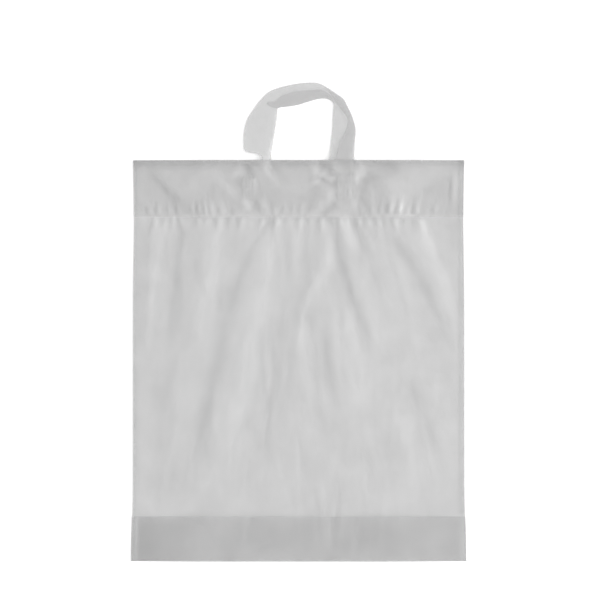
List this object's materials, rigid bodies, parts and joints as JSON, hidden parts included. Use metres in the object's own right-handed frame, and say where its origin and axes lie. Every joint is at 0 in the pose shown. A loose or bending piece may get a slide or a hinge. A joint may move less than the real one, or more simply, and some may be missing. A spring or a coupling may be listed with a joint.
{
  "type": "plastic carrier bag",
  "caption": "Flat carrier bag of frosted plastic film with a turned-in hem, a bottom gusset and soft film loop handles.",
  "frame": {"origin": "bottom centre of the bounding box of the bag lying on its rear panel", "axes": "+X across the bag, +Y from the gusset up to the mouth and the handle loops, +Z out of the front panel, up from the surface it lies on"},
  "size_m": [0.3782, 0.5391, 0.0086],
  "materials": {
    "bag_film": "frosted translucent film, satin",
    "handle_film": "frosted translucent film, satin"
  },
  "bodies": {
    "root": {"bag_body": "bag_film", "front_handle": "handle_film", "rear_handle": "handle_film"}
  },
  "joints": []
}
